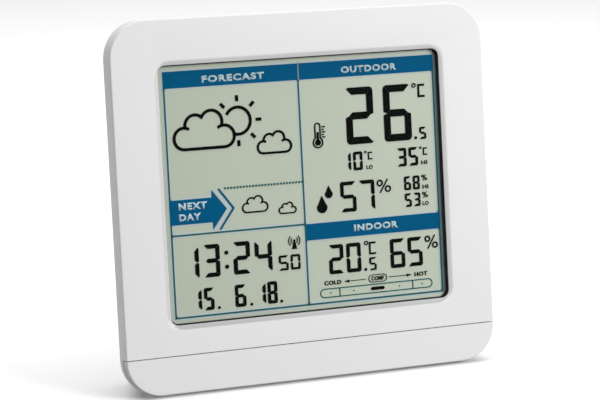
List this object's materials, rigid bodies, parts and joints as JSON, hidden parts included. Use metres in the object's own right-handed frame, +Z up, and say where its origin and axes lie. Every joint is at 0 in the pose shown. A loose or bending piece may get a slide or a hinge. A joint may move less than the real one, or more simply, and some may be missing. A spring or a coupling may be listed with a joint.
{
  "type": "home weather station",
  "caption": "Desktop weather station: slim white case leaning back on a fold-out leg, large segment display behind a clear pane, full-width press bar below, keys and battery door behind.",
  "frame": {"origin": "on the table, under the middle of the station as it stands", "axes": "+X to the right as the display is read, +Y from the display towards the back, +Z up; the case leans back by 7.2 degrees"},
  "size_m": [0.138, 0.0448, 0.126],
  "materials": {
    "white_housing": "fine satin texture, white",
    "rear_housing": "fine matt texture, white",
    "display_pane": "clear, polished",
    "foam": "matt black foam",
    "display_glass": "grey-green reflective display",
    "light_guide": "clear acrylic",
    "led": "pale yellow phosphor",
    "strip_rubber": "matt dark grey",
    "circuit_board": "green solder mask",
    "black_component": "moulded black",
    "steel": "nickel plated",
    "ferrite": "sintered, dull dark grey",
    "copper": "enamelled copper winding",
    "cell_jacket": "printed foil jacket",
    "red_insulation": "soft red insulation",
    "black_insulation": "soft black insulation"
  },
  "bodies": {
    "case": {"front_shell": "white_housing", "display_window": "display_pane", "display_gasket": "foam", "lcd_panel": "display_glass", "lcd_holder": "white_housing", "contact_strip_lower": "strip_rubber", "contact_strip_upper": "strip_rubber", "backlight_guide": "light_guide", "backlight_led_left": "led", "backlight_led_right": "led", "main_board": "circuit_board", "board_screw_1": "steel", "board_screw_2": "steel", "board_screw_3": "steel", "board_screw_4": "steel", "bar_switch": "black_component", "key_set_switch": "black_component", "key_up_switch": "black_component", "key_down_switch": "black_component", "key_alarm_switch": "black_component", "key_channel_switch": "black_component", "key_memory_switch": "black_component", "controller_chip": "black_component", "quartz_crystal": "steel", "capacitor": "black_component", "radio_board": "circuit_board", "buzzer": "black_component", "climate_sensor": "black_component", "ferrite_rod": "ferrite", "antenna_coil": "copper", "battery_1": "cell_jacket", "battery_2": "cell_jacket", "contact_bridge": "steel", "contact_positive": "steel", "contact_negative": "steel", "battery_lead_positive": "red_insulation", "battery_lead_negative": "black_insulation", "rear_shell": "rear_housing", "case_screw_1": "steel", "case_screw_2": "steel", "case_screw_3": "steel", "case_screw_4": "steel"},
    "bar": {"snooze_bar": "white_housing"},
    "stand": {"stand_leg": "rear_housing"},
    "door": {"battery_door": "rear_housing"},
    "set_key": {"key_set": "rear_housing"},
    "up_key": {"key_up": "rear_housing"},
    "down_key": {"key_down": "rear_housing"},
    "alarm_key": {"key_alarm": "rear_housing"},
    "channel_key": {"key_channel": "rear_housing"},
    "memory_key": {"key_memory": "rear_housing"}
  },
  "joints": [
    {"name": "snooze_bar_press", "type": "hinge", "parent": "case", "child": "bar", "pos_m": [0, -0.01636, 0.01134], "axis": [1, 0, 0], "range_deg": [0, 4], "stiffness_Nm_per_rad": 0.09, "springref_deg": -1.72},
    {"name": "stand_fold", "type": "hinge", "parent": "case", "child": "stand", "pos_m": [0, 0.00619, 0.0478], "axis": [-1, 0, 0], "range_deg": [0, 24.25]},
    {"name": "battery_door_swing", "type": "hinge", "parent": "case", "child": "door", "pos_m": [0, 0.01398, 0.09031], "axis": [1, 0, 0], "range_deg": [0, 80]},
    {"name": "key_set_press", "type": "slide", "parent": "case", "child": "set_key", "axis": [0, -0.9921, 0.1253], "range_m": [0, 0.0005], "stiffness_N_per_m": 900, "springref_m": -0.0004},
    {"name": "key_up_press", "type": "slide", "parent": "case", "child": "up_key", "axis": [0, -0.9921, 0.1253], "range_m": [0, 0.0005], "stiffness_N_per_m": 900, "springref_m": -0.0004},
    {"name": "key_down_press", "type": "slide", "parent": "case", "child": "down_key", "axis": [0, -0.9921, 0.1253], "range_m": [0, 0.0005], "stiffness_N_per_m": 900, "springref_m": -0.0004},
    {"name": "key_alarm_press", "type": "slide", "parent": "case", "child": "alarm_key", "axis": [0, -0.9921, 0.1253], "range_m": [0, 0.0005], "stiffness_N_per_m": 900, "springref_m": -0.0004},
    {"name": "key_channel_press", "type": "slide", "parent": "case", "child": "channel_key", "axis": [0, -0.9921, 0.1253], "range_m": [0, 0.0005], "stiffness_N_per_m": 900, "springref_m": -0.0004},
    {"name": "key_memory_press", "type": "slide", "parent": "case", "child": "memory_key", "axis": [0, -0.9921, 0.1253], "range_m": [0, 0.0005], "stiffness_N_per_m": 900, "springref_m": -0.0004}
  ]
}
